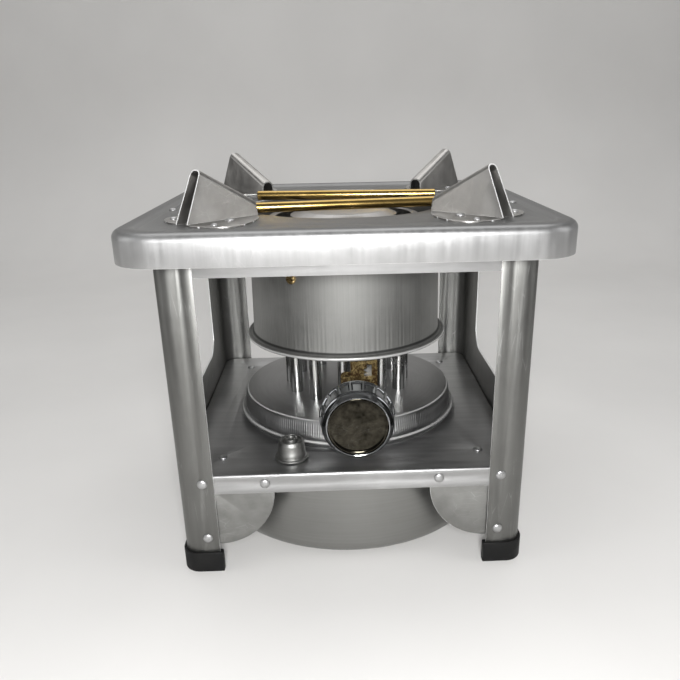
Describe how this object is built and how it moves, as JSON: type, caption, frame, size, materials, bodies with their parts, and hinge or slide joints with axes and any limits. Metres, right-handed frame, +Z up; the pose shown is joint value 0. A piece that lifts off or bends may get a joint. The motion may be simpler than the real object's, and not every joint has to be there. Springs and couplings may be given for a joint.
{
  "type": "square multi-wick kerosene stove",
  "caption": "Square sheet-metal kerosene wick stove with four legs, shelf, round tank, drum burner, wick-raising knob and pot supports.",
  "frame": {"origin": "on the floor under the middle of the stove, the centre of the underside of its box", "axes": "+Z up, front with the knob towards -Y, +X to the right seen from the front"},
  "size_m": [0.27, 0.27, 0.2631],
  "materials": {
    "aluminium_sheet": "satin",
    "plated_steel": "plated",
    "sleeve_steel": "heat-stained",
    "bright_steel": "bright",
    "rivet_aluminium": "satin",
    "zinc_fastener": "yellow zinc",
    "black_rubber": "matte",
    "felt": "felt",
    "cotton_wick": "woven cotton",
    "turned_aluminium": "turned",
    "knob_chrome": "polished",
    "brass_rod": "polished"
  },
  "bodies": {
    "stove": {"top_plate": "aluminium_sheet", "side_panel_left": "aluminium_sheet", "side_panel_right": "aluminium_sheet", "front_rail": "aluminium_sheet", "rear_rail": "aluminium_sheet", "shelf": "aluminium_sheet", "well_ring": "aluminium_sheet", "drum": "aluminium_sheet", "drum_collar": "aluminium_sheet", "tank_base": "aluminium_sheet", "tank_bowl": "aluminium_sheet", "tank_top": "aluminium_sheet", "tank_neck": "aluminium_sheet", "tank_cover": "aluminium_sheet", "gusset_front_left": "aluminium_sheet", "gusset_front_right": "aluminium_sheet", "gusset_rear_right": "aluminium_sheet", "gusset_rear_left": "aluminium_sheet", "pot_support_front_left": "plated_steel", "pot_support_front_right": "plated_steel", "pot_support_rear_right": "plated_steel", "pot_support_rear_left": "plated_steel", "sleeve_guide": "plated_steel", "burner_base": "plated_steel", "rack_tower": "plated_steel", "wick_tubes": "bright_steel", "shaft_bush": "bright_steel", "frame_rivets": "rivet_aluminium", "plate_rivets": "rivet_aluminium", "pot_support_rivets": "rivet_aluminium", "tower_rivets": "rivet_aluminium", "drum_screws": "zinc_fastener", "drum_nuts": "zinc_fastener", "foot_front_left": "black_rubber", "foot_front_right": "black_rubber", "foot_rear_right": "black_rubber", "foot_rear_left": "black_rubber", "rack_seal": "felt", "filler_neck": "turned_aluminium"},
    "wick_lift": {"wick_carrier": "plated_steel", "wicks": "cotton_wick", "lift_rack": "bright_steel"},
    "knob_shaft_body": {"knob": "knob_chrome", "knob_face": "knob_chrome", "knob_shaft": "bright_steel", "pinion": "bright_steel", "shaft_clip": "bright_steel"},
    "cap_gasket": {"filler_gasket": "black_rubber"},
    "cap": {"filler_cap": "turned_aluminium"},
    "burner": {"outer_sleeve": "sleeve_steel", "inner_sleeve": "sleeve_steel", "flame_spreader": "sleeve_steel", "sleeve_pin": "bright_steel"},
    "front_bar": {"brass_rod_front": "brass_rod"},
    "rear_bar": {"brass_rod_rear": "brass_rod"}
  },
  "joints": [
    {"name": "wick_lift_slide", "type": "slide", "parent": "stove", "child": "wick_lift", "axis": [0, 0, 1], "range_m": [0, 0.014]},
    {"name": "knob_turn", "type": "hinge", "parent": "stove", "child": "knob_shaft_body", "pos_m": [0.0041, -0.1, 0.1103], "axis": [0, -1, 0], "range_deg": [0, 107]},
    {"name": "cap_rise", "type": "slide", "parent": "stove", "child": "cap_gasket", "axis": [0, 0, 1], "range_m": [0, 0.0046]},
    {"name": "cap_turn", "type": "hinge", "parent": "cap_gasket", "child": "cap", "pos_m": [-0.0406, -0.0908, 0.08], "axis": [0, 0, 1], "range_deg": [0, 540]},
    {"name": "burner_lift", "type": "slide", "parent": "stove", "child": "burner", "axis": [0, 0, 1], "range_m": [0, 0.04]},
    {"name": "front_bar_lift", "type": "slide", "parent": "burner", "child": "front_bar", "axis": [0, 0, 1], "range_m": [0, 0.02]},
    {"name": "rear_bar_lift", "type": "slide", "parent": "burner", "child": "rear_bar", "axis": [0, 0, 1], "range_m": [0, 0.02]}
  ],
  "couplings": [
    {"joint": "knob_turn", "follows": "wick_lift_slide", "rad_per_m": 133.33},
    {"joint": "cap_rise", "follows": "cap_turn", "m_per_rad": 0.00047746}
  ]
}
